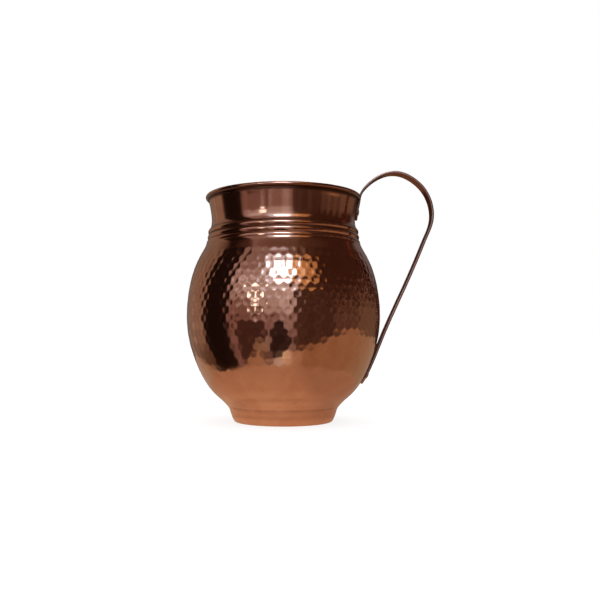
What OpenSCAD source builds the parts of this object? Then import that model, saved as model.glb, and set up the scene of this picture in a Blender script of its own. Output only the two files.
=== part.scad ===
// Hammered copper jug with a tall riveted strap handle.
// Millimetres. +Z is up along the axis of the pot, and the handle is on the +X side.
// The origin is on the pot's axis, in the plane that it stands on.

/* [Body] */
// Height from the standing plane to the top of the rolled mouth
pot_h = 150; // [142:1:158]
// Greatest outside diameter of the belly
belly_d = 128.6; // [124:0.2:136]
// Thickness of the copper sheet
sheet_t = 0.8; // [0.7:0.05:0.95]
// Radius of the bend between the foot wall and the hem under it
foot_bend_r = 1.8; // [1.6:0.1:2.2]
// Width of the hem that is turned in under the foot
hem_w = 4.5; // [3.5:0.5:6]

/* [Mouth] */
// Diameter of the wire that the edge is rolled over
wire_d = 1.0; // [0.8:0.1:1.2]
// How far the edge is rolled, from the inside of the neck over the top
roll_angle = 280; // [260:5:282]
// Room left beside the strap where the rolled edge is cut away for it
notch_gap = 0.6; // [0.4:0.1:1.5]

/* [Base] */
// Thickness of the base disc
base_t = 0.8; // [0.6:0.1:1.2]
// Height of the solder up the inside of the foot wall
solder_h = 2.4; // [1.5:0.1:3]

/* [Handle] */
// Thickness of the strap
strap_t = 1.5; // [1.2:0.1:1.6]
// Width of the strap from the neck to the top of the bow
strap_w_neck = 10; // [9:0.5:12]
// Width of the strap at its lower end
strap_w_belly = 12; // [11:0.5:15]

/* [Rivets] */
// Diameter of the rivet shanks
rivet_d = 2.4; // [2.0:0.1:2.6]
// Diameter of the low outside heads
head_d = 3.9; // [3.6:0.1:4.2]
// Height of the outside heads
head_h = 0.55; // [0.4:0.05:0.8]
// Diameter of the washers inside the pot
washer_d = 4.2; // [3.8:0.1:4.4]
// Thickness of the washers
washer_t = 0.5; // [0.4:0.1:0.7]

/* [Hidden] */
$fn = 144;

copper      = [0.66, 0.38, 0.27];
copper_dark = [0.50, 0.28, 0.20];
tin         = [0.62, 0.60, 0.57];

kr = belly_d / 128.6;          // radial scale of the control points
kz = pot_h / 150;              // height scale of the control points

// One point of a uniform cubic B-spline, and the whole curve through both end points
function bsp(a, b, c, d, t) =
    (pow(1 - t, 3) * a + (3 * pow(t, 3) - 6 * t * t + 4) * b
     + (-3 * pow(t, 3) + 3 * t * t + 3 * t + 1) * c + pow(t, 3) * d) / 6;
function spline(P, n) =
    let (m = len(P) - 1, Q = concat([2 * P[0] - P[1]], P, [2 * P[m] - P[m - 1]]))
    concat([for (i = [0 : m - 1]) for (k = [0 : n - 1])
            bsp(Q[i], Q[i + 1], Q[i + 2], Q[i + 3], k / n)], [P[m]]);
// Unit normal on the right-hand side of a path at point i
function nrm(C, i) =
    let (v = C[min(i + 1, len(C) - 1)] - C[max(i - 1, 0)]) [v[1], -v[0]] / norm(v);
function shifted(C, d) = [for (i = [0 : len(C) - 1]) C[i] + d * nrm(C, i)];
function arc(c, r, a0, a1, n) =
    [for (k = [0 : n]) c + r * [cos(a0 + (a1 - a0) * k / n), sin(a0 + (a1 - a0) * k / n)]];
function reversed(L) = [for (i = [len(L) - 1 : -1 : 0]) L[i]];

// ---- outline of the body, [radius, height], outside face, foot to mouth ----
foot_a = 27;                                   // lean of the foot wall
foot_c = [31.5 * kr, foot_bend_r];             // centre of the bend
foot_0 = foot_c + foot_bend_r * [cos(foot_a), -sin(foot_a)];
neck_r = 49.85 * kr;
wire_room = wire_d / 2 + 0.05;                 // inside radius of the rolled edge
roll_r = wire_room + sheet_t;                  // outside radius of the rolled edge
roll_c = [neck_r + wire_room, pot_h - roll_r];

function body(r, z) = [r * kr, z * kz];
outline = spline(concat(
    [foot_0],
    // foot wall and the bend out into the bowl
    [body(34.1, 2.8), body(34.8, 4.9), body(35.5, 6.9), body(36.0, 9), body(38.05, 11.5)],
    // bowl and belly
    [body(40.9, 14.5), body(45.3, 18), body(49.3, 22.5), body(52.85, 28), body(56.45, 35),
     body(59.6, 43), body(62.4, 52), body(64.0, 61.5), body(64.5, 71), body(63.95, 80.5),
     body(62.6, 90), body(60.5, 98.5), body(57.65, 106)],
    // shoulder
    [body(54.4, 111.5), body(52.7, 114.6)],
    // three swaged beads, groove and crest by turns
    [body(51.6, 116.6), body(51.35, 118.4), body(49.95, 120.2), body(50.7, 122),
     body(49.4, 123.8), body(50.3, 125.6), body(49.55, 127.4), body(48.7, 129.2)],
    // neck, flaring to the mouth
    [body(47.85, 131.2), body(47.7, 134), body(47.95, 137), body(48.45, 140),
     body(48.85, 143), body(49.65, 145.6)],
    [[neck_r, roll_c[1] - 1.25], [neck_r, roll_c[1]]]), 3);

inline = shifted(outline, -sheet_t);
function r_out(z) = lookup(z, [for (p = outline) [p[1], p[0]]]);
function lean(z) = atan((r_out(z + 1) - r_out(z - 1)) / 2);

// ---- centre line of the strap, [x, z], lower end to upper end ----
strap_line = spline([for (p = [
    [52, 25.1], [55.8, 31.6], [59, 38.3], [62, 46.3], [65.9, 56.3], [71.1, 68.3],
    [77, 81.1], [82.8, 93.7], [88.6, 107], [92.6, 116.8], [95.4, 123.6], [98, 129.4],
    [99.6, 135.7], [99.2, 142.3], [97.5, 148.5], [94.4, 154.3], [90.1, 159.1],
    [84.8, 162.9], [78.9, 165.7], [72.3, 166.3], [66, 164.6], [60.2, 161.4],
    [56.2, 157.9], [53.3, 154.6], [51.8, 151.8], [51, 149.3], [50.7, 146.6],
    [50.1, 143.5], [49.1, 139.3], [48.65, 134.4]]) body(p[0], p[1])], 4);

// ---- rivets: height, half spacing and lean of each pair ----
neck_z = 139.4 * kz;
belly_z = 31.2 * kz;
neck_half = 2.45;
belly_half = 3.0;
bow = 0.3;                     // room for the curve of the wall behind a flat washer

// Puts children at one rivet: +X local is outward, x = 0 on the pot's outside face
module at_rivets(z, half) {
    for (s = [-1, 1])
        translate([r_out(z), s * half, z]) rotate([0, lean(z), 0]) children();
}
module along_x(x0, x1, r) {
    translate([x0, 0, 0]) rotate([0, 90, 0]) cylinder(h = x1 - x0, r = r);
}

// ---- body: one sheet, hem, foot, belly, beads, neck and rolled mouth ----
module pot_shell() {
    color(copper) difference() {
        rotate_extrude() polygon(concat(
            [[foot_c[0] - hem_w, 0]],
            arc(foot_c, foot_bend_r, -90, -foot_a, 6),
            [for (i = [1 : len(outline) - 2]) outline[i]],
            arc(roll_c, wire_room, 180, 180 - roll_angle, 20),
            arc(roll_c, roll_r, 180 - roll_angle, 180, 26),
            [for (i = [len(inline) - 2 : -1 : 1]) inline[i]],
            arc(foot_c, foot_bend_r - sheet_t, -foot_a, -90, 6),
            [[foot_c[0] - hem_w, sheet_t]]));
        // the rolled edge is cut away where the strap comes up through it
        intersection() {
            rotate_extrude() polygon([[neck_r + 0.02, roll_c[1] - 2], [neck_r + 6, roll_c[1] - 2],
                                      [neck_r + 6, pot_h + 1], [neck_r + 0.02, pot_h + 1]]);
            translate([0, -strap_w_neck / 2 - notch_gap, 0])
                cube([80, strap_w_neck + 2 * notch_gap, pot_h + 5]);
        }
        at_rivets(neck_z, neck_half) along_x(-4, 3, rivet_d / 2 + 0.05);
        at_rivets(belly_z, belly_half) along_x(-4, 3, rivet_d / 2 + 0.05);
    }
}

// ---- wire inside the rolled edge, open at the strap ----
module rim_wire() {
    color(copper_dark) difference() {
        rotate_extrude() translate(roll_c) circle(d = wire_d, $fn = 32);
        translate([0, -strap_w_neck / 2 - notch_gap - 0.1, 0])
            cube([80, strap_w_neck + 2 * notch_gap + 0.2, pot_h + 5]);
    }
}

// ---- floor of the pot, laid on the hem ----
base_r = foot_c[0] - 0.1;
base_top = sheet_t + base_t;
module base_disc() {
    color(copper) translate([0, 0, sheet_t]) cylinder(h = base_t, r = base_r);
}

// ---- ring of solder between the base disc and the foot wall ----
module base_solder() {
    wall = [for (p = shifted(outline, -sheet_t - 0.03))
            if (p[1] > base_top && p[1] < base_top + solder_h) p];
    top = wall[len(wall) - 1];
    color(tin) rotate_extrude() polygon(concat(
        [[base_r - 1.8, base_top], [foot_c[0] + foot_bend_r - sheet_t - 0.15, base_top]],
        wall,
        [[top[0] - 0.35, top[1] - 0.5], [top[0] - 0.9, base_top + 0.7], [base_r - 0.9, base_top + 0.2]]));
}

// ---- strap handle ----
module handle_strap() {
    zn = 134.4 * kz + strap_w_neck / 2;        // centre of the round upper end
    zb = 25.1 * kz + strap_w_belly / 2;        // centre of the round lower end
    color(copper_dark) difference() {
        intersection() {
            // side view of the bent strip
            translate([0, 20, 0]) rotate([90, 0, 0]) linear_extrude(height = 40)
                polygon(concat(shifted(strap_line, strap_t / 2),
                               reversed(shifted(strap_line, -strap_t / 2))));
            // front view of the strip: it widens towards the lower end
            rotate([90, 0, 90]) linear_extrude(height = 130 * kr) polygon([
                [-strap_w_belly / 2, 0], [strap_w_belly / 2, 0],
                [strap_w_belly / 2, zb], [strap_w_neck / 2, zn],
                [strap_w_neck / 2, pot_h + 40], [-strap_w_neck / 2, pot_h + 40],
                [-strap_w_neck / 2, zn], [-strap_w_belly / 2, zb]]);
        }
        // both ends are rounded
        difference() {
            translate([neck_r - 6, -20, zn - 12]) cube([12, 40, 12]);
            translate([0, 0, zn]) along_x(0, 80, strap_w_neck / 2);
        }
        difference() {
            translate([30, -20, zb - 20]) cube([50, 40, 20]);
            translate([0, 0, zb]) along_x(0, 80, strap_w_belly / 2);
        }
        at_rivets(neck_z, neck_half) along_x(-4, 6, rivet_d / 2 + 0.05);
        at_rivets(belly_z, belly_half) along_x(-4, 6, rivet_d / 2 + 0.05);
    }
}

// One rivet: low domed head outside the strap, shank, and the closed end over the washer.
// out is how far the strap's outside face stands off the pot's outside face.
module rivet(out) {
    in = sheet_t + bow + washer_t;
    R = (pow(head_d / 2, 2) + head_h * head_h) / (2 * head_h);
    a = asin(head_d / 2 / R);
    rotate([0, 90, 0]) rotate_extrude() polygon(concat(
        [[0, -in - 0.45], [1.45, -in - 0.45], [1.7, -in - 0.2], [1.7, -in],
         [rivet_d / 2, -in], [rivet_d / 2, out], [head_d / 2, out]],
        [for (k = [1 : 9]) [R * sin(a * (1 - k / 9)), out + head_h - R + R * cos(a * (1 - k / 9))]]));
}
neck_out = strap_t + 0.25;
belly_out = strap_t + 0.2;

module neck_rivets() {
    color(copper) at_rivets(neck_z, neck_half) rivet(neck_out);
}

module belly_rivets() {
    color(copper) at_rivets(belly_z, belly_half) rivet(belly_out);
}

// ---- washers under the closed ends, inside the pot ----
module washer() {
    difference() {
        along_x(-sheet_t - bow - washer_t, -sheet_t - bow, washer_d / 2);
        along_x(-sheet_t - bow - washer_t - 1, -sheet_t - bow + 1, rivet_d / 2 + 0.02);
    }
}

module neck_rivet_washers() {
    color(copper_dark) at_rivets(neck_z, neck_half) washer();
}

module belly_rivet_washers() {
    color(copper_dark) at_rivets(belly_z, belly_half) washer();
}

pot_shell();
rim_wire();
base_disc();
base_solder();
handle_strap();
neck_rivets();
belly_rivets();
neck_rivet_washers();
belly_rivet_washers();
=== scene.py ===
import math

import bpy
import numpy as np
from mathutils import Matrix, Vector


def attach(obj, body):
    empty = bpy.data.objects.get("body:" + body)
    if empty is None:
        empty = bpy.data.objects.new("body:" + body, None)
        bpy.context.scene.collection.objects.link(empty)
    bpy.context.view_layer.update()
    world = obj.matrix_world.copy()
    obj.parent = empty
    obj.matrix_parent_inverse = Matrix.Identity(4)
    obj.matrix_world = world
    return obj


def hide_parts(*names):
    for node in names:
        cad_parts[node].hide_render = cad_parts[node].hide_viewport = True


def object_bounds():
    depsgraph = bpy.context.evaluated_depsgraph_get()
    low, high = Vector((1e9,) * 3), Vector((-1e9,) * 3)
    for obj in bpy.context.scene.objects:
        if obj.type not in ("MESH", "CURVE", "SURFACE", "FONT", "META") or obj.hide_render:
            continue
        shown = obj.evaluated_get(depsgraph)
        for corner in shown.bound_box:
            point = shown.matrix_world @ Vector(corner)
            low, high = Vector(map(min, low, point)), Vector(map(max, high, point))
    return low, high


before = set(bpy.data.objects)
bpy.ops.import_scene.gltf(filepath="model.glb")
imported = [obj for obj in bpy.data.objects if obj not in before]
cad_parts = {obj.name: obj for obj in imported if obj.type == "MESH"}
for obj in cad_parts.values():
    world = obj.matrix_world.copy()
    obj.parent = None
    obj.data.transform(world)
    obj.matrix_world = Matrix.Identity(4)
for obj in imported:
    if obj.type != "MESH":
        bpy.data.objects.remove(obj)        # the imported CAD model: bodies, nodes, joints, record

MM = 0.001
cad_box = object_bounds()
cad_box = [list(cad_box[0]), list(cad_box[1])]

# ---------------------------------------------------------------------------
# camera: level, a little above the belly, half a metre away
# ---------------------------------------------------------------------------
cam_data = bpy.data.cameras.new("camera")
cam_data.sensor_width = 36.0
cam_data.lens = 43.2
cam_data.shift_x = 0.0277
cam_data.shift_y = 0.065
cam_data.clip_start = 0.01
cam_data.clip_end = 50.0
cam = bpy.data.objects.new("camera", cam_data)
cam.location = (0.0, -0.483, 0.055)
cam.rotation_euler = (math.radians(90), 0, 0)
bpy.context.scene.collection.objects.link(cam)
bpy.context.scene.camera = cam
bpy.context.scene.view_settings.view_transform = "Standard"
bpy.context.scene.view_settings.look = "None"
bpy.context.scene.view_settings.exposure = 0.0
bpy.context.scene.view_settings.gamma = 1.0


# ---------------------------------------------------------------------------
# curves, the same ones as the CAD model's (millimetres)
# ---------------------------------------------------------------------------
def spline(P, n):
    P = np.asarray(P, float)
    Q = np.vstack([2 * P[0] - P[1], P, 2 * P[-1] - P[-2]])
    out = []
    for i in range(len(P) - 1):
        for k in range(n):
            t = k / n
            out.append(((1 - t) ** 3 * Q[i] + (3 * t**3 - 6 * t**2 + 4) * Q[i + 1]
                        + (-3 * t**3 + 3 * t**2 + 3 * t + 1) * Q[i + 2] + t**3 * Q[i + 3]) / 6)
    out.append(P[-1])
    return np.array(out)


def arc_len(C):
    return np.concatenate([[0], np.cumsum(np.linalg.norm(np.diff(C, axis=0), axis=1))])


def normals(C):
    """Unit normals on the right-hand side of a path."""
    T = np.gradient(C, axis=0)
    T /= np.linalg.norm(T, axis=1)[:, None]
    return np.stack([T[:, 1], -T[:, 0]], 1)


SHEET = 0.8
FOOT_C = np.array([31.5, 1.8])
ROLL_C = np.array([50.4, 148.65])
ROLL_IN, ROLL_OUT, ROLL_ANGLE = 0.55, 1.35, 280.0
OUTLINE = spline([
    (FOOT_C[0] + 1.8 * math.cos(math.radians(27)), FOOT_C[1] - 1.8 * math.sin(math.radians(27))),
    (34.1, 2.8), (34.8, 4.9), (35.5, 6.9), (36.0, 9), (38.05, 11.5),
    (40.9, 14.5), (45.3, 18), (49.3, 22.5), (52.85, 28), (56.45, 35), (59.6, 43), (62.4, 52),
    (64.0, 61.5), (64.5, 71), (63.95, 80.5), (62.6, 90), (60.5, 98.5), (57.65, 106),
    (54.4, 111.5), (52.7, 114.6), (51.6, 116.6), (51.35, 118.4), (49.95, 120.2), (50.7, 122),
    (49.4, 123.8), (50.3, 125.6), (49.55, 127.4), (48.7, 129.2), (47.85, 131.2), (47.7, 134),
    (47.95, 137), (48.45, 140), (48.85, 143), (49.65, 145.6), (49.85, 147.4), (49.85, 148.65)], 24)


# the three beads are rounded humps with sharp valleys between them
def bead(z0, zc, z1, r0, rc, r1):
    z = OUTLINE[:, 1]
    m = (z >= z0) & (z <= z1)
    lo = rc - (rc - r0) * np.clip((zc - z) / max(zc - z0, 1e-6), 0, 1) ** 2
    hi = rc - (rc - r1) * np.clip((z - zc) / (z1 - zc), 0, 1) ** 2
    OUTLINE[m, 0] = np.where(z < zc, lo, hi)[m]


bead(117.6, 118.5, 120.35, 51.16, 51.2, 50.05)
bead(120.35, 122.1, 124.0, 50.05, 50.55, 49.5)
bead(124.0, 125.75, 127.7, 49.5, 50.12, 49.0)
m_ = (OUTLINE[:, 1] > 127.7) & (OUTLINE[:, 1] < 133.0)
OUTLINE[m_, 0] = np.interp(OUTLINE[m_, 1], *spline([(127.7, 49.0), (128.3, 48.70), (128.9, 48.41), (129.6, 48.15),
                                                    (130.6, 47.97), (131.8, 47.86), (133.0, 47.79)], 8).T)
# painted shade in the valleys between the beads: height of each valley and how dark it is painted
VALLEYS = ((120.35, 0.55), (124.0, 1.0), (127.7, 0.65))
O_S = arc_len(OUTLINE)
O_N = normals(OUTLINE)


def at_z(z):
    return float(np.interp(z, OUTLINE[:, 1], O_S))


def on_outline(s, offset=0.0):
    s = np.asarray(s, float)
    p = np.stack([np.interp(s, O_S, OUTLINE[:, 0]), np.interp(s, O_S, OUTLINE[:, 1])], -1)
    n = np.stack([np.interp(s, O_S, O_N[:, 0]), np.interp(s, O_S, O_N[:, 1])], -1)
    n /= np.linalg.norm(n, axis=-1)[..., None]
    return p + offset * n, n


def r_out(z):
    return float(np.interp(z, OUTLINE[:, 1], OUTLINE[:, 0]))


# ---------------------------------------------------------------------------
# hammer marks: rows of shallow round blows, in brick order, each a little off
# ---------------------------------------------------------------------------
rng = np.random.default_rng(7)
HAMMER_LO, HAMMER_HI = at_z(17.0), at_z(109.0)
PITCH_ROW, PITCH_COL, MARK_R = 4.45, 5.4, 3.45
rows = []
n_rows = int(round((HAMMER_HI - HAMMER_LO) / PITCH_ROW))
for i in range(n_rows):
    s = HAMMER_LO + (i + 0.5) * (HAMMER_HI - HAMMER_LO) / n_rows
    p, _ = on_outline(s)
    n = int(6 * round(2 * math.pi * p[0] / PITCH_COL / 6))
    depth = float(np.interp(p[1], [17, 30, 45, 60, 75, 92, 104, 109], [0.045, 0.06, 0.09, 0.155, 0.28, 0.38, 0.33, 0.24]))
    rows.append(dict(
        s=s + rng.normal(0, 0.10, n), n=n,
        a=((np.arange(n) + 0.5 * (i % 2)) / n * 2 * math.pi + rng.normal(0, 0.13, n) / p[0]),
        d=depth * (1 + np.clip(rng.normal(0, 0.11, n), -0.3, 0.3)),
        ts=rng.normal(0, 0.007, n), ta=rng.normal(0, 0.007, n), s0=s))


def hammer(s, phi, r):
    """Depth of the hammered surface, zero or below, at arc length s and angles phi."""
    h = np.zeros(len(phi))
    for row in rows:
        if abs(row["s0"] - s) > 2.2 * PITCH_ROW:
            continue
        n = row["n"]
        k0 = np.floor((phi - row["a"][0]) / (2 * math.pi) * n).astype(int)
        for dk in (-1, 0, 1, 2):
            k = (k0 + dk) % n
            da = (phi - row["a"][k] + math.pi) % (2 * math.pi) - math.pi
            x, y = da * r, s - row["s"][k]
            d2 = x * x + y * y
            v = row["d"][k] * (d2 / MARK_R**2 - 1) + (row["ta"][k] * x + row["ts"][k] * y) * (d2 < MARK_R**2)
            h = np.minimum(h, np.where(d2 < MARK_R**2, v, 0.0))
    return h


# ---------------------------------------------------------------------------
# body of the jug: one closed sheet, ring by ring
# ---------------------------------------------------------------------------
N1, N2 = 216, 432
phi1 = np.arange(N1) / N1 * 2 * math.pi
phi2 = np.arange(N2) / N2 * 2 * math.pi
NOTCH = math.asin(5.6 / 50.4)
k_in = int(NOTCH / (2 * math.pi) * N1)       # last column inside the notch in the rolled edge
for sgn in (1, -1):
    phi1[(sgn * k_in) % N1] = (sgn * (NOTCH - 0.0006)) % (2 * math.pi)
    phi1[(sgn * (k_in + 1)) % N1] = (sgn * (NOTCH + 0.0006)) % (2 * math.pi)
in_notch = np.zeros(N1, bool)
for k in range(-k_in, k_in + 1):
    in_notch[k % N1] = True


def circle(c, r, a0, a1, n):
    a = np.radians(np.linspace(a0, a1, n + 1))
    return np.stack([c[0] + r * np.cos(a), c[1] + r * np.sin(a)], 1)


rings = []        # (kind, points) : kind "n" has N1 columns, "w" has N2


# the last argument of ring() is painted shade: how far that ring's colour is darkened to stand in for shade in a crease
def ring(p, roll=False, hollow=None, part=0.0, painted_crease_shade=0.0):
    r = np.full(N1, p[0])
    z = np.full(N1, p[1])
    if roll:
        r = np.where(in_notch, np.minimum(r, 49.87), r)
    rings.append(("n", np.stack([r * np.cos(phi1), r * np.sin(phi1), z], 1),
                  np.zeros(N1) if hollow is None else hollow, part, painted_crease_shade))


def spaced(s0, s1, step):
    n = max(1, int(math.ceil((s1 - s0) / step)))
    return np.linspace(s0, s1, n + 1)


# underside of the hem, the bend and the foot wall
for x in (27.0, 27.6, 28.6, 29.8, 30.8):
    ring((x, 0.0))
for p in circle(FOOT_C, 1.8, -90, -27, 9):
    ring(p)
# the foot wall gets a ring of painted shade at its waist, about 10 mm up
for s in spaced(0.5, HAMMER_LO - MARK_R - 1.0, 0.95):
    q_ = on_outline(s)[0]
    ring(q_, painted_crease_shade=0.42 * max(0.0, 1 - abs(q_[1] - 10.2) / 1.3))
# hammered part, finely divided
wide = spaced(HAMMER_LO - MARK_R, HAMMER_HI + MARK_R, 0.97)
for s in wide:
    p, n = on_outline(s)
    h = hammer(s, phi2, p[0])
    r, z = p[0] + h * n[0], p[1] + h * n[1]
    rings.append(("w", np.stack([r * np.cos(phi2), r * np.sin(phi2), z], 1), -h, 0.0, 0.0))
# shoulder, beads and neck; painted shade darkens the top of the neck under the rolled edge and the valleys between the
# beads
s = HAMMER_HI + MARK_R + 0.8
for q in np.concatenate([spaced(s, at_z(116.2), 0.9), spaced(at_z(116.2), at_z(131.5), 0.46)[1:],
                         spaced(at_z(131.5), at_z(147.2), 0.85)[1:]]):
    q_ = on_outline(q)[0]
    g_ = min(1.0, max(0.0, (q_[1] - 145.0) / 1.3))
    for zv, amount in VALLEYS:
        g_ = max(g_, amount * max(0.0, 1 - abs(q_[1] - zv) / 1.05))
    ring(q_, painted_crease_shade=g_)
# rolled edge: inside of the roll, its cut edge, then its outside; the inside of the roll and the underside of its
# outside carry painted shade
for p in circle(ROLL_C, ROLL_IN, 180, 180 - ROLL_ANGLE, 9):
    ring(p, roll=True, painted_crease_shade=1.0)
for p in circle(ROLL_C, ROLL_OUT, 180 - ROLL_ANGLE, 180, 20):
    under = math.degrees(math.atan2(p[1] - ROLL_C[1], p[0] - ROLL_C[0]))
    ring(p, roll=True, part=0.35, painted_crease_shade=min(1.0, max(0.0, (-12 - under) / 30)))
# inside face, mouth to foot; the blows show through it, softened
inner = np.concatenate([spaced(at_z(116.2), at_z(147.2), 1.1)[::-1],
                        spaced(at_z(10.0), at_z(116.2), 2.1)[::-1][1:],
                        spaced(0.5, at_z(10.0), 1.0)[::-1][1:]])
for s in inner:
    p, n = on_outline(s, -SHEET)
    if HAMMER_LO - MARK_R < s < HAMMER_HI + MARK_R:
        h = 0.6 * hammer(s, phi1, p[0])
    else:
        h = np.zeros(N1)
    r, z = p[0] + h * n[0], p[1] + h * n[1]
    rings.append(("n", np.stack([r * np.cos(phi1), r * np.sin(phi1), z], 1), -h, 1.0, 0.0))
for p in circle(FOOT_C, 1.0, -27, -90, 6):
    ring(p, part=1.0)
for x in (30.2, 28.6, 27.0):
    ring((x, SHEET), part=1.0)

verts, first, hollow, inside, ring_shades = [], [], [], [], []
for kind, pts, hol, part, painted_crease_shade in rings:
    first.append(len(verts))
    verts.extend((pts * MM).tolist())
    hollow.extend(hol.tolist())
    inside.extend([part] * len(pts))
    ring_shades.extend([painted_crease_shade] * len(pts))
faces = []
m = len(rings)
for i in range(m):
    a, b = i, (i + 1) % m
    ka, kb, fa, fb = rings[a][0], rings[b][0], first[a], first[b]
    if ka == kb:
        n = len(rings[a][1])
        faces.extend([(fa + j, fa + (j + 1) % n, fb + (j + 1) % n, fb + j) for j in range(n)])
    elif ka == "n":      # coarse below, fine above
        for j in range(N1):
            c0, c1 = fa + j, fa + (j + 1) % N1
            f0, f1, f2 = fb + 2 * j, fb + 2 * j + 1, fb + (2 * j + 2) % N2
            faces += [(c0, f1, f0), (c0, c1, f1), (c1, f2, f1)]
    else:                # fine below, coarse above
        for j in range(N1):
            c0, c1 = fb + j, fb + (j + 1) % N1
            f0, f1, f2 = fa + 2 * j, fa + 2 * j + 1, fa + (2 * j + 2) % N2
            faces += [(c0, f0, f1), (c0, f1, c1), (c1, f1, f2)]


def make(name, verts, faces, sharp=40.0, attrs=None):
    me = bpy.data.meshes.new(name)
    me.from_pydata([tuple(v) for v in verts], [], [tuple(f) for f in faces])
    me.validate()
    for key, val in (attrs or {}).items():
        at = me.attributes.new(key, "FLOAT", "POINT")
        at.data.foreach_set("value", np.asarray(val, np.float32))
    me.shade_smooth()
    me.set_sharp_from_angle(angle=math.radians(sharp))
    me.update()
    ob = bpy.data.objects.new(name, me)
    bpy.context.scene.collection.objects.link(ob)
    return ob


# the body carries its dimple depth, its inner face and the painted shade of its creases as attributes
body = make("hammered_body", verts, faces, 42.0, {"hollow": np.asarray(hollow) / 0.30, "inside": inside,
                                                   "painted_crease_shade": ring_shades})

# ---------------------------------------------------------------------------
# strap handle: one strip, edges rounded over, its two ends cupped to the pot
# ---------------------------------------------------------------------------
LINE = spline([
    (52, 25.1), (55.8, 31.6), (59, 38.3), (62, 46.3), (65.9, 56.3), (71.1, 68.3), (77, 81.1),
    (82.8, 93.7), (88.6, 107), (92.6, 116.8), (95.4, 123.6), (98, 129.4), (99.6, 135.7),
    (99.2, 142.3), (97.5, 148.5), (94.4, 154.3), (90.1, 159.1), (84.8, 162.9), (78.9, 165.7),
    (72.3, 166.3), (66, 164.6), (60.2, 161.4), (56.2, 157.9), (53.3, 154.6), (51.8, 151.8),
    (51, 149.3), (50.7, 146.6), (50.1, 143.5), (49.1, 139.3), (48.65, 134.4)], 16)
L_S = arc_len(LINE)
L_N = normals(LINE)                       # away from the hand's side of the loop
L_LEN = L_S[-1]
T, ZN, ZB = 1.5, 139.4, 31.1


def strap_at(s):
    p = np.array([np.interp(s, L_S, LINE[:, 0]), np.interp(s, L_S, LINE[:, 1])])
    n = np.array([np.interp(s, L_S, L_N[:, 0]), np.interp(s, L_S, L_N[:, 1])])
    return p, n / np.linalg.norm(n)


def half_width(s, p):
    """Half the strip's width: it widens downwards and its ends are round."""
    w = 6.0 if p[1] < ZB else (5.0 if p[1] > ZN else 6.0 - (p[1] - ZB) / (ZN - ZB))
    if s < 20 and p[1] < ZB:
        w = math.sqrt(max(0.0, 36.0 - (ZB - p[1]) ** 2))
    if s > L_LEN - 15 and p[1] < ZN:
        w = math.sqrt(max(0.0, 25.0 - (ZN - p[1]) ** 2))
    return w


end = np.array([0.03, 0.12, 0.25, 0.42, 0.65, 0.95, 1.35, 1.85, 2.5, 3.2, 4.0, 4.9, 5.9, 7.0, 8.2])
ss = np.concatenate([end, np.linspace(9.4, L_LEN - 9.4, 200), L_LEN - end[::-1]])
COLS, ROUND = 9, 0.42
waver = np.random.default_rng(11).normal(0, 1, (len(ss), 2))
waver = np.apply_along_axis(lambda v: np.convolve(v, np.ones(9) / 9, "same"), 0, waver) * 0.05
# the last list holds painted shade for the strap: its inner face and its end at the neck are darkened
sv, sf, srim, sdark = [], [], [], []
for i, s in enumerate(ss):
    p, n = strap_at(s)
    near = min(s, L_LEN - s)
    rc = ROUND
    th = T / 2 - rc + math.sqrt(max(0.0, rc * rc - (rc - min(near, rc)) ** 2))
    w = max(half_width(s, p) + waver[i, 0] * (near > 8), 0.30)
    rc = min(rc, 0.9 * w, 0.95 * th)
    low = np.clip(1 - (s - 13) / 12, 0, 1) if s < 40 else 0.0
    top = np.clip(1 - (L_LEN - s - 13) / 10, 0, 1) if s > L_LEN - 40 else 0.0
    cup = max(low * low * (3 - 2 * low), top * top * (3 - 2 * top))
    rp = r_out(min(p[1], 147.0))
    sec = [(y, th, 0.0) for y in np.linspace(-(w - rc), w - rc, COLS)]
    sec += [(w - rc + rc * math.sin(a), th - rc + rc * math.cos(a), a / 1.2) for a in (0.39, 0.79, 1.18)]
    sec += [(w, y, 1.0) for y in (th - rc, -(th - rc))]
    sec += [(w - rc + rc * math.sin(a), -(th - rc) - rc * math.cos(a), a / 1.2) for a in (1.18, 0.79, 0.39)]
    half = len(sec)
    sec += [(-y, -o, e) for y, o, e in sec]
    for y, o, e in sec:
        bend = (rp - math.sqrt(rp * rp - y * y)) * 0.85 * cup
        q = p + n * (o + waver[i, 1] * (near > 12))
        sv.append(((q[0] - bend) * MM, y * MM, q[1] * MM))
        srim.append(max(e, 1.0 - min(near / 0.5, 1.0)))
        sdark.append(max(0.85 if o < -0.2 and e < 0.9 else 0.0, float(np.clip((s - L_LEN + 26) / 8, 0, 1))))
K = len(sec)
for i in range(len(ss) - 1):
    for j in range(K):
        sf.append((i * K + j, (i + 1) * K + j, (i + 1) * K + (j + 1) % K, i * K + (j + 1) % K))
sf.append(tuple(range(K)))
sf.append(tuple(reversed(range((len(ss) - 1) * K, len(ss) * K))))
strap = make("strap_handle", sv, sf, 60.0, {"rim": srim, "painted_strap_shade": sdark})
import bmesh


def face_outwards(ob):
    b = bmesh.new()
    b.from_mesh(ob.data)
    bmesh.ops.recalc_face_normals(b, faces=b.faces)
    b.to_mesh(ob.data)
    b.free()


face_outwards(strap)
face_outwards(body)


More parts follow.
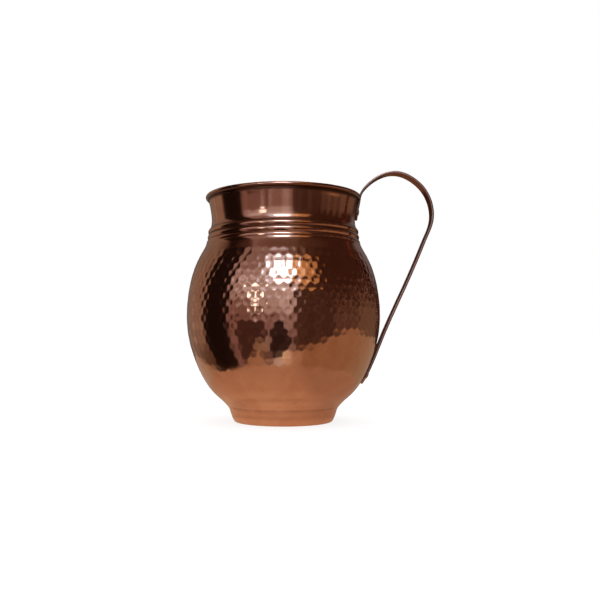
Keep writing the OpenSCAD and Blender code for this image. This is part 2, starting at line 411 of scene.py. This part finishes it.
# ---------------------------------------------------------------------------
# rivets: low heads struck over, shank, and the closed end over the washer
# ---------------------------------------------------------------------------
def rivets(name, z, half, out, seed):
    g = np.random.default_rng(seed)
    lean = math.atan((r_out(z + 1) - r_out(z - 1)) / 2)
    ax = np.array([math.cos(lean), 0, -math.sin(lean)])
    up = np.array([math.sin(lean), 0, math.cos(lean)])
    back = SHEET + 0.3 + 0.5
    prof = [(-back - 0.45, 0.0), (-back - 0.45, 1.15), (-back - 0.38, 1.45), (-back - 0.24, 1.64), (-back - 0.1, 1.7),
            (-back + 0.0, 1.68), (-back + 0.0, 1.2), (out, 1.2), (out, 1.90), (out + 0.03, 1.95), (out + 0.10, 1.94)]
    R = (1.95**2 + 0.55**2) / 1.1
    a = math.asin(1.95 / R)
    for k in range(1, 13):
        t = a * (1 - k / 12)
        prof.append((out + 0.55 - R + R * math.cos(t) + (0.05 if k < 5 else 0.0) * (1 - k / 5), R * math.sin(t)))
    vv, ff = [], []
    M = 40
    for sy in (-1, 1):
        c = np.array([r_out(z), sy * half, z])
        base = len(vv)
        dents = [(g.uniform(0, 6.28), g.uniform(0.2, 1.3), g.uniform(0.02, 0.05)) for _ in range(5)]
        ringed = [q for q in prof if q[1] > 1e-6]
        for x, r in ringed:
            for j in range(M):
                t = 2 * math.pi * j / M
                rr = r * (1 + (0.012 * math.sin(3 * t + sy) if r > 1.3 else 0))
                dx = 0.0
                if x > out + 0.12:
                    for da, dr, dd in dents:
                        d2 = (rr * math.cos(t) - dr * math.cos(da))**2 + (rr * math.sin(t) - dr * math.sin(da))**2
                        dx -= dd * math.exp(-d2 / 0.35)
                P = c + ax * (x + dx) + np.array([0, 1, 0]) * rr * math.cos(t) + up * rr * math.sin(t)
                vv.append(P * MM)
        n = len(ringed)
        for i in range(n - 1):
            for j in range(M):
                ff.append((base + i * M + j, base + i * M + (j + 1) % M, base + (i + 1) * M + (j + 1) % M, base + (i + 1) * M + j))
        for x, row in ((prof[0][0], 0), (prof[-1][0] - 0.02, n - 1)):
            tipv = len(vv)
            vv.append((c + ax * x) * MM)
            for j in range(M):
                q = (base + row * M + j, base + row * M + (j + 1) % M, tipv)
                ff.append(q if row else q[::-1])
    ob = make(name, vv, ff, 50.0)
    face_outwards(ob)
    return ob


neck_rivets = rivets("neck_rivet_pair", 139.4, 2.45, 1.75, 3)
belly_rivets = rivets("belly_rivet_pair", 31.2, 3.0, 1.70, 5)


# ---------------------------------------------------------------------------
# materials
# ---------------------------------------------------------------------------
class Tree:
    """Short spellings for building a node tree."""

    def __init__(self, tree):
        self.t = tree
        self.n = tree.nodes
        self.l = tree.links

    def node(self, kind, **props):
        nd = self.n.new(kind)
        for k, v in props.items():
            setattr(nd, k, v)
        return nd

    def put(self, socket, value):
        if hasattr(value, "is_output") or isinstance(value, bpy.types.NodeSocket):
            self.l.new(value, socket)
        elif value is not None:
            socket.default_value = value

    def math(self, op, a, b=None, c=None, clamp=False):
        nd = self.node("ShaderNodeMath", operation=op, use_clamp=clamp)
        self.put(nd.inputs[0], a)
        if b is not None:
            self.put(nd.inputs[1], b)
        if c is not None:
            self.put(nd.inputs[2], c)
        return nd.outputs[0]

    def step(self, v, a, b, lo=0.0, hi=1.0, smooth=True):
        nd = self.node("ShaderNodeMapRange", interpolation_type="SMOOTHSTEP" if smooth else "LINEAR", clamp=True)
        self.put(nd.inputs["Value"], v)
        nd.inputs["From Min"].default_value = a
        nd.inputs["From Max"].default_value = b
        nd.inputs["To Min"].default_value = lo
        nd.inputs["To Max"].default_value = hi
        return nd.outputs["Result"]

    def mix(self, f, a, b, blend="MIX"):
        nd = self.node("ShaderNodeMix", data_type="RGBA", blend_type=blend, clamp_factor=True)
        self.put(nd.inputs[0], f)
        self.put(nd.inputs[6], a if not isinstance(a, tuple) else (*a, 1.0)[:4])
        self.put(nd.inputs[7], b if not isinstance(b, tuple) else (*b, 1.0)[:4])
        return nd.outputs[2]

    def noise(self, vec, scale, detail=3.0, rough=0.5, distort=0.0):
        nd = self.node("ShaderNodeTexNoise")
        self.put(nd.inputs["Vector"], vec)
        nd.inputs["Scale"].default_value = scale
        nd.inputs["Detail"].default_value = detail
        nd.inputs["Roughness"].default_value = rough
        nd.inputs["Distortion"].default_value = distort
        return nd.outputs["Fac"]

    def scaled(self, vec, scale, rot=(0, 0, 0)):
        nd = self.node("ShaderNodeMapping")
        self.put(nd.inputs["Vector"], vec)
        nd.inputs["Scale"].default_value = scale
        nd.inputs["Rotation"].default_value = rot
        return nd.outputs["Vector"]


def metal(name, tones, rough, scratch=(0.03, 0.35), bump=0.02, around=False, dirt=0.0, hollow=False, tint=None,
          brushed=None, rim=None, edge_tint=None):
    """A worked and handled metal. tones = (clean, dull, stained); rough = (low, high)."""
    mat = bpy.data.materials.new(name)
    mat.use_nodes = True
    T_ = Tree(mat.node_tree)
    T_.n.clear()
    out = T_.node("ShaderNodeOutputMaterial")
    sh = T_.node("ShaderNodeBsdfPrincipled")
    T_.l.new(sh.outputs[0], out.inputs[0])
    sh.inputs["Metallic"].default_value = 1.0
    if edge_tint:
        sh.inputs["Specular Tint"].default_value = (*edge_tint, 1.0)
    co = T_.node("ShaderNodeTexCoord").outputs["Object"]
    # broad clouds of dulling, finer mottle, and small stains
    cloud = T_.noise(co, 26.0, 4.0, 0.55, 0.4)
    mottle = T_.noise(co, 150.0, 5.0, 0.6, 0.2)
    fine = T_.noise(co, 900.0, 3.0, 0.6)
    dull = T_.step(T_.math("MULTIPLY_ADD", mottle, 0.45, T_.math("MULTIPLY", cloud, 0.75)), 0.48, 0.78)
    col = T_.mix(dull, tones[0], tones[1])
    stain = T_.step(T_.noise(co, 62.0, 6.0, 0.62, 0.8), 0.60, 0.74)
    col = T_.mix(T_.math("MULTIPLY", stain, 0.62), col, tones[2])
    rgh = T_.step(T_.math("MULTIPLY_ADD", mottle, 0.5, T_.math("MULTIPLY", cloud, 0.5)), 0.3, 0.72, rough[0], rough[1])
    # hairline scratches: three families of long thin noise
    hair = None
    for k, (rot, sc) in enumerate((((0.3, 0.2, 0.5), (2600, 60, 90)), ((1.1, -0.4, 0.2), (80, 3100, 70)),
                                   ((-0.5, 0.9, 1.3), (70, 110, 2900)))):
        h = T_.step(T_.noise(T_.scaled(co, tuple(x * 0.01 for x in sc), rot), 22.0, 2.0, 0.5), 0.66, 0.72)
        hair = h if hair is None else T_.math("MAXIMUM", hair, h)
    rgh = T_.math("ADD", rgh, T_.math("MULTIPLY", hair, scratch[0]), clamp=True)
    height = T_.math("MULTIPLY_ADD", hair, -scratch[1], T_.math("MULTIPLY", mottle, 0.5))
    height = T_.math("MULTIPLY_ADD", fine, 0.25, height)
    if brushed:
        b = T_.noise(T_.scaled(co, brushed), 40.0, 3.0, 0.7)
        height = T_.math("MULTIPLY_ADD", b, 0.8, height)
        rgh = T_.math("MULTIPLY_ADD", b, 0.08, rgh)
    if hollow:
        at = T_.node("ShaderNodeAttribute", attribute_name="hollow", attribute_type="GEOMETRY")
        inn = T_.node("ShaderNodeAttribute", attribute_name="inside", attribute_type="GEOMETRY")
        deep = T_.step(at.outputs["Fac"], 0.15, 1.0)
        col = T_.mix(T_.math("MULTIPLY", T_.math("SUBTRACT", 1.0, deep), 0.16), col, tones[1])
        # the inside has never been polished: duller and browner, with a tide of stain
        wet = T_.step(T_.noise(T_.scaled(co, (1, 1, 2.2)), 38.0, 5.0, 0.6, 0.5), 0.35, 0.7)
        inner = T_.mix(wet, tint[0], tint[1])
        col = T_.mix(inn.outputs["Fac"], col, inner)
        rgh = T_.math("MULTIPLY_ADD", inn.outputs["Fac"], 0.12, rgh)
        # painted shade: the crease under the rolled edge, the roll, the valleys between the beads and the foot's waist
        # are darkened, broken up a little by the mottle
        gr = T_.node("ShaderNodeAttribute", attribute_name="painted_crease_shade", attribute_type="GEOMETRY")
        g_ = T_.math("MULTIPLY", T_.step(T_.math("MULTIPLY_ADD", mottle, 0.3, gr.outputs["Fac"]), 0.2, 1.05), 0.86)
        col = T_.mix(g_, col, (0.10, 0.042, 0.026))
        rgh = T_.math("MULTIPLY_ADD", g_, 0.20, rgh)
    if rim:
        ed = T_.node("ShaderNodeAttribute", attribute_name="rim", attribute_type="GEOMETRY")
        e_ = T_.step(T_.math("MULTIPLY_ADD", mottle, 0.5, T_.math("SUBTRACT", ed.outputs["Fac"], 0.25)), 0.30, 0.62)
        col = T_.mix(e_, col, rim)
        rgh = T_.math("MULTIPLY_ADD", e_, 0.02, rgh)
        # painted shade: the strap's inner face and its end at the neck are darkened towards a dark brown
        dk = T_.node("ShaderNodeAttribute", attribute_name="painted_strap_shade", attribute_type="GEOMETRY")
        d_ = T_.math("MULTIPLY", T_.step(T_.math("MULTIPLY_ADD", mottle, 0.4, dk.outputs["Fac"]), 0.3, 1.1), 0.68)
        col = T_.mix(d_, col, (0.16, 0.070, 0.052))
    if dirt:
        ao = T_.step(mottle, 0.3, 0.75)
        col = T_.mix(T_.math("MULTIPLY", ao, dirt), col, tones[2])
    T_.put(sh.inputs["Base Color"], col)
    T_.put(sh.inputs["Roughness"], rgh)
    bp = T_.node("ShaderNodeBump")
    bp.inputs["Strength"].default_value = bump
    bp.inputs["Distance"].default_value = 0.0004
    T_.put(bp.inputs["Height"], height)
    T_.put(sh.inputs["Normal"], bp.outputs[0])
    return mat


copper_body = metal("copper_polished", ((0.87, 0.485, 0.34), (0.76, 0.39, 0.262), (0.60, 0.285, 0.185)), (0.085, 0.155),
                    bump=0.04, hollow=True, tint=((0.74, 0.42, 0.30), (0.58, 0.31, 0.22)))
copper_strap = metal("copper_strap", ((0.60, 0.335, 0.255), (0.50, 0.27, 0.205), (0.36, 0.19, 0.145)), (0.10, 0.17),
                     bump=0.015, dirt=0.12, rim=(0.50, 0.315, 0.26), edge_tint=(0.62, 0.42, 0.36))
copper_rivet = metal("copper_rivet", ((0.82, 0.45, 0.32), (0.72, 0.37, 0.27), (0.50, 0.25, 0.19)), (0.24, 0.36),
                     bump=0.10, dirt=0.3)
copper_wire = metal("copper_wire", ((0.76, 0.41, 0.29), (0.64, 0.34, 0.24), (0.46, 0.24, 0.18)), (0.30, 0.44),
                    bump=0.08, dirt=0.4)
copper_disc = metal("copper_disc", ((0.76, 0.43, 0.31), (0.64, 0.34, 0.24), (0.50, 0.26, 0.19)), (0.26, 0.42),
                    bump=0.10, dirt=0.3)
copper_washer = metal("copper_washer", ((0.70, 0.38, 0.27), (0.58, 0.31, 0.22), (0.42, 0.22, 0.17)), (0.32, 0.46),
                      bump=0.10, dirt=0.4)
tin = metal("tin_solder", ((0.60, 0.59, 0.57), (0.50, 0.48, 0.46), (0.36, 0.33, 0.30)), (0.30, 0.50),
            bump=0.35, dirt=0.3)


def dress(ob, mat):
    ob.data.materials.clear()
    ob.data.materials.append(mat)


dress(body, copper_body)
dress(strap, copper_strap)
dress(neck_rivets, copper_rivet)
dress(belly_rivets, copper_rivet)
for node, mat in (("rim_wire", copper_wire), ("base_disc", copper_disc), ("base_solder", tin),
                  ("neck_rivet_washers", copper_washer), ("belly_rivet_washers", copper_washer)):
    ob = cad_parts[node]
    for sl in ob.material_slots:
        sl.material = mat
    if not ob.material_slots:
        ob.data.materials.append(mat)

for piece, node, slot in ((body, "pot_shell", "copper_body"), (strap, "handle_strap", "copper_strap"),
                          (neck_rivets, "neck_rivets", "copper_rivets"), (belly_rivets, "belly_rivets", "copper_rivets")):
    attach(piece, "root")
    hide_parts(node)

# ---------------------------------------------------------------------------
# studio: pale floor, soft white light all round, and cards, flags and a warm
# tabletop that only the polished metal sees
# ---------------------------------------------------------------------------
floor_me = bpy.data.meshes.new("floor")
F = 4.0
floor_me.from_pydata([(-F, -F, 0), (F, -F, 0), (F, F, 0), (-F, F, 0)], [], [(0, 1, 2, 3)])
floor = bpy.data.objects.new("floor", floor_me)
bpy.context.scene.collection.objects.link(floor)
fm = bpy.data.materials.new("pale_floor")
fm.use_nodes = True
ft = Tree(fm.node_tree)
ft.n.clear()
fo = ft.node("ShaderNodeOutputMaterial")
fd = ft.node("ShaderNodeBsdfDiffuse")
fd.inputs["Color"].default_value = (0.34, 0.34, 0.34, 1)
fe = ft.node("ShaderNodeEmission")
fe.inputs["Color"].default_value = (1, 1, 1, 1)
fe.inputs["Strength"].default_value = 0.78
fa = ft.node("ShaderNodeAddShader")
ft.l.new(fd.outputs[0], fa.inputs[0])
ft.l.new(fe.outputs[0], fa.inputs[1])
# seen from below the floor lets the eye through, so the underside can be looked at
fg = ft.node("ShaderNodeNewGeometry")
ftr = ft.node("ShaderNodeBsdfTransparent")
fx = ft.node("ShaderNodeMixShader")
ft.l.new(fg.outputs["Backfacing"], fx.inputs[0])
ft.l.new(fa.outputs[0], fx.inputs[1])
ft.l.new(ftr.outputs[0], fx.inputs[2])
ft.l.new(fx.outputs[0], fo.inputs[0])
floor_me.materials.append(fm)
floor.visible_glossy = False

world = bpy.data.worlds.new("studio")
bpy.context.scene.world = world
world.use_nodes = True
W = Tree(world.node_tree)
W.n.clear()
wo = W.node("ShaderNodeOutputWorld")
dirn = W.node("ShaderNodeSeparateXYZ")
W.l.new(W.node("ShaderNodeTexCoord").outputs["Generated"], dirn.inputs[0])
dx, dy, dz = dirn.outputs
az = W.math("MULTIPLY", W.math("ARCTAN2", dx, W.math("MULTIPLY", dy, -1.0)), 180 / math.pi)
el = W.math("MULTIPLY", W.math("ARCSINE", dz), 180 / math.pi)


def card(col, a0, a1, e0, e1, sa=2.0, se=2.0, colour=(1, 1, 1), gain=1.0, amount=1.0):
    """Lays a soft-edged card of one colour over what is there, between two azimuths and two elevations."""
    mk = W.math("MULTIPLY", W.step(az, a0 - sa, a0 + sa), W.step(az, a1 - sa, a1 + sa, 1.0, 0.0))
    mk = W.math("MULTIPLY", mk, W.math("MULTIPLY", W.step(el, e0 - se, e0 + se), W.step(el, e1 - se, e1 + se, 1.0, 0.0)))
    if amount != 1.0:
        mk = W.math("MULTIPLY", mk, amount)
    return W.mix(mk, col, tuple(c * gain for c in colour))


# table edge: elevation of the boundary against azimuth
edge = W.node("ShaderNodeFloatCurve")
pts = [(-180, -4), (-150, -9), (-135, -15), (-120, -23), (-110, -28), (-100, -33), (-90, -38), (-80, -41.5), (-68, -42),
       (-58, -39), (-48, -35.5), (-36, -32.5), (-25, -36), (-12, -40), (-5, -36), (2, -33.5), (14, -32.5), (28, -29.5),
       (42, -25), (55, -18.5), (70, -12.5), (90, -8), (110, -9), (130, -7), (180, -4)]
cv = edge.mapping.curves[0]
cv.points[0].location = ((pts[0][0] + 180) / 360, (pts[0][1] + 60) / 60)
cv.points[1].location = ((pts[-1][0] + 180) / 360, (pts[-1][1] + 60) / 60)
for a_, e_ in pts[1:-1]:
    cv.points.new((a_ + 180) / 360, (e_ + 60) / 60)
edge.mapping.update()
W.put(edge.inputs["Value"], W.step(az, -180, 180, 0.0, 1.0, smooth=False))
edge_el = W.math("MULTIPLY_ADD", edge.outputs[0], 60.0, -60.0)

# the room above the table, dark and warm
c = W.mix(W.step(el, 44, 74), (0.042, 0.018, 0.012), (0.095, 0.055, 0.038))
c = card(c, 13, 56, -60, 18, 3, 10, (0.058, 0.030, 0.022))
c = card(c, 13, 34, 50, 66, 4, 6, (0.15, 0.10, 0.075))
c = card(c, 60, 122, -20, 6, 9, 4, (0.085, 0.050, 0.036))
for a_, w_, g_ in ((22, 5, 0.80), (38, 5, 0.85), (61, 4, 1.1), (72, 4, 1.35), (84, 6, 1.2), (98, 6, 1.45), (112, 7, 1.3)):
    c = card(c, a_, a_ + w_, -22, 16, 1.2, 5, (0.098, 0.060, 0.044), gain=g_)
# left: an olive wall, then a black flag
c = card(c, -162, -107, -60, 40, 4, 9, (0.225, 0.170, 0.135))
c = card(c, -162, -104, -60, -14, 4, 12, (0.100, 0.060, 0.035))
c = card(c, -164, -142, -60, 32, 9, 9, (0.20, 0.17, 0.14))
for a_, w_, g_ in ((-149, 6, 1.0), (-135, 5, 1.25), (-123, 4, 1.1), (-114, 3, 1.2)):
    c = card(c, a_, a_ + w_, -13, 20, 1.2, 5, (0.27, 0.205, 0.160), gain=g_)
c = card(c, -104.5, -68, -60, 50, 2.2, 4, (0.011, 0.006, 0.005))
# middle: a pinkish wall in upright panels, lighter higher up
c = card(c, -67, 13.5, -60, 66, 1.8, 8, (0.185, 0.118, 0.105))
c = card(c, -62, -57, -60, 60, 1.5, 8, (0.235, 0.150, 0.140))
c = card(c, -34.5, -29.5, -60, 5, 1.0, 2, (0.32, 0.25, 0.25))
c = card(c, -27, -23, -60, 4, 1.0, 2, (0.12, 0.07, 0.06))
c = card(c, -22.5, -17, -60, 60, 1.0, 2, (0.31, 0.24, 0.24))
c = card(c, -17, -2, -60, 60, 1.0, 2, (0.23, 0.16, 0.155))
c = card(c, -2, 9, -60, 60, 1.0, 2, (0.34, 0.28, 0.29))
c = card(c, 9, 13.5, -60, 60, 0.8, 2, (0.25, 0.18, 0.18))
c = card(c, -65, -27, 9, 37, 3, 2, (0.35, 0.30, 0.31))
c = card(c, -52, -44, 2, 13, 2, 3, (0.19, 0.115, 0.095))
c = card(c, -24, 13.5, 3, 37, 1.2, 2.5, (0.40, 0.365, 0.37))
c = card(c, -2, 9, 3, 40, 1.2, 2, (0.52, 0.51, 0.57))
c = card(c, -65, 13.5, 37, 59, 3, 3, (0.25, 0.195, 0.19))
c = card(c, -57, -36, 19, 27, 2, 1.5, (0.56, 0.58, 0.66))
# right: low brown band over the table edge, and a paler far end
c = card(c, 103, 142, -20, 7, 7, 4, (0.14, 0.095, 0.065))
c = card(c, 138, 166, 9, 34, 6, 4, (0.150, 0.140, 0.145))
c = card(c, 164, 202, -60, 70, 7, 6, (0.105, 0.070, 0.052))
c = card(c, -202, -163, -60, 70, 7, 6, (0.105, 0.070, 0.052))
# windows: the large one, its warm neighbour, small panes, and one behind
c = card(c, 9, 44, 23, 48, 3, 3, (0.46, 0.27, 0.118))
c = card(c, 9, 27, 26, 47, 4, 3, (0.86, 0.62, 0.36))
c = card(c, -27, 16, 22, 55, 4, 5, (0.68, 0.82, 1.08))
c = card(c, -14.5, 10, 28, 47, 2.5, 2.5, (1, 1.22, 1.5), gain=4.4)
c = card(c, -37.5, -27, 12.5, 18.5, 1.0, 1.0, (1, 1.18, 1.25), gain=2.7)
c = card(c, -35, -29.5, 3.5, 8, 0.8, 0.8, (1, 1.15, 1.2), gain=2.2)
c = card(c, 168, 190, 24, 44, 2.5, 2.5, (1, 0.98, 0.95), gain=2.6)
c = card(c, -190, -170, 24, 44, 2.5, 2.5, (1, 0.98, 0.95), gain=2.6)
# large soft box overhead
c = card(c, -400, 400, 76, 120, 1, 6, (0.62, 0.60, 0.57))


# warm tabletop below its edge
def ramp(fac, stops):
    nd = W.node("ShaderNodeValToRGB")
    e = nd.color_ramp.elements
    while len(e) < len(stops):
        e.new(0.5)
    for el_, (pos, col) in zip(e, stops):
        el_.position = pos
    for el_, (pos, col) in zip(e, stops):
        el_.color = (*col, 1)
    W.put(nd.inputs[0], fac)
    return nd.outputs[0]


turn = W.step(az, -180, 180, 0.0, 1.0, smooth=False)
near_edge = ramp(turn, [((a_ + 180) / 360, col) for a_, col in (
    (-160, (0.42, 0.34, 0.27)), (-125, (0.39, 0.295, 0.20)), (-95, (0.37, 0.245, 0.155)), (-70, (0.325, 0.200, 0.122)),
    (-36, (0.340, 0.210, 0.128)), (-18, (0.42, 0.31, 0.23)), (4, (0.50, 0.385, 0.285)), (16, (0.42, 0.29, 0.185)),
    (32, (0.31, 0.180, 0.103)), (95, (0.300, 0.185, 0.108)), (130, (0.32, 0.235, 0.155)), (165, (0.34, 0.27, 0.20)))])
deep = ramp(turn, [((a_ + 180) / 360, col) for a_, col in (
    (-130, (0.46, 0.32, 0.21)), (-60, (0.39, 0.242, 0.146)), (5, (0.44, 0.285, 0.185)), (40, (0.35, 0.20, 0.110)),
    (80, (0.33, 0.192, 0.105)), (130, (0.38, 0.245, 0.155)))])
table = W.mix(W.step(el, -46, -54), near_edge, deep)
c = W.mix(W.step(W.math("SUBTRACT", el, edge_el), -0.8, 0.8, 1.0, 0.0), c, table)
c = card(c, -4.5, 7, -41.5, -35.5, 1.5, 1.2, (0.82, 0.74, 0.56))
c = card(c, -15, -4, -45, -40, 2, 1.5, (0.50, 0.48, 0.50))


# a few near things, low in front, that only the metal sees: flat cards 0.3 m away
def near_card(name, x_z, y, colour):
    me = bpy.data.meshes.new(name)
    me.from_pydata([(x * MM, y * MM, z * MM) for x, z in x_z], [], [tuple(range(len(x_z)))])
    ob = bpy.data.objects.new(name, me)
    bpy.context.scene.collection.objects.link(ob)
    m_ = bpy.data.materials.new(name)
    m_.use_nodes = True
    t_ = Tree(m_.node_tree)
    t_.n.clear()
    e_ = t_.node("ShaderNodeEmission")
    e_.inputs["Color"].default_value = (*colour, 1)
    t_.l.new(e_.outputs[0], t_.node("ShaderNodeOutputMaterial").inputs[0])
    me.materials.append(m_)
    for flag in ("visible_camera", "visible_diffuse", "visible_transmission", "visible_volume_scatter", "visible_shadow"):
        setattr(ob, flag, False)
    m_.cycles.emission_sampling = "NONE"


near_card("card_low_left", [(-408, 48), (-98, 48), (-98, -90), (-190, -143), (-408, -327)], -300, (0.055, 0.027, 0.021))
near_card("card_low_mid", [(-45, 53), (-2, 53), (12, 14), (47, -28), (38, -87), (0, -115), (-38, -160), (-85, -160),
                           (-85, -87), (-66, -2)], -300, (0.024, 0.013, 0.012))
near_card("card_block", [(-195, -55), (-98, -57), (-98, -132), (-195, -137)], -298, (0.27, 0.195, 0.135))
near_card("card_block_foot", [(-150, -133), (-87, -133), (-87, -190), (-150, -185)], -299, (0.10, 0.055, 0.035))

# the tabletop close round the foot, which the foot's wall would otherwise look past
ring_me = bpy.data.meshes.new("card_table_near")
RINGS_T = (24.0, 60.0, 96.0)
ring_me.from_pydata([(q * MM * math.cos(k * math.pi / 32), q * MM * math.sin(k * math.pi / 32), -0.0006)
                     for q in RINGS_T for k in range(64)], [],
                    [(i * 64 + k, (i + 1) * 64 + k, (i + 1) * 64 + (k + 1) % 64, i * 64 + (k + 1) % 64)
                     for i in range(2) for k in range(64)])
ring_ob = bpy.data.objects.new("card_table_near", ring_me)
bpy.context.scene.collection.objects.link(ring_ob)
rm = bpy.data.materials.new("card_table_near")
rm.use_nodes = True
rt = Tree(rm.node_tree)
rt.n.clear()
re_ = rt.node("ShaderNodeEmission")
rs_ = rt.node("ShaderNodeSeparateXYZ")
rt.l.new(rt.node("ShaderNodeTexCoord").outputs["Object"], rs_.inputs[0])
rx_, ry_ = rs_.outputs[0], rs_.outputs[1]
rr_ = rt.math("SQRT", rt.math("ADD", rt.math("MULTIPLY", rx_, rx_), rt.math("MULTIPLY", ry_, ry_)))
rc_ = rt.mix(rt.step(rr_, 0.0375, 0.041), (0.56, 0.37, 0.245), (0.47, 0.305, 0.20))
rc_ = rt.mix(rt.step(rr_, 0.042, 0.046), rc_, (0.52, 0.345, 0.225))
rc_ = rt.mix(rt.step(rr_, 0.048, 0.062), rc_, (0.455, 0.295, 0.190))
rc_ = rt.mix(rt.step(rr_, 0.062, 0.094), rc_, (0.42, 0.270, 0.172))
rc_ = rt.mix(rt.math("MULTIPLY", rt.step(rx_, 0.008, 0.045), 0.7), rc_, (0.335, 0.215, 0.150))
rt.put(re_.inputs["Color"], rc_)
rt.l.new(re_.outputs[0], rt.node("ShaderNodeOutputMaterial").inputs[0])
ring_me.materials.append(rm)
for flag in ("visible_camera", "visible_diffuse", "visible_transmission", "visible_volume_scatter", "visible_shadow"):
    setattr(ring_ob, flag, False)
rm.cycles.emission_sampling = "NONE"

back = W.node("ShaderNodeBackground")
W.put(back.inputs["Color"], c)
soft = W.node("ShaderNodeBackground")
soft.inputs["Color"].default_value = (1, 1, 1, 1)
soft.inputs["Strength"].default_value = 1.0
lp = W.node("ShaderNodeLightPath")
mx = W.node("ShaderNodeMixShader")
W.put(mx.inputs[0], lp.outputs["Is Glossy Ray"])
W.l.new(soft.outputs[0], mx.inputs[1])
W.l.new(back.outputs[0], mx.inputs[2])
W.l.new(mx.outputs[0], wo.inputs[0])
world.cycles.sampling_method = "NONE"      # the metal and the floor are shown different surroundings
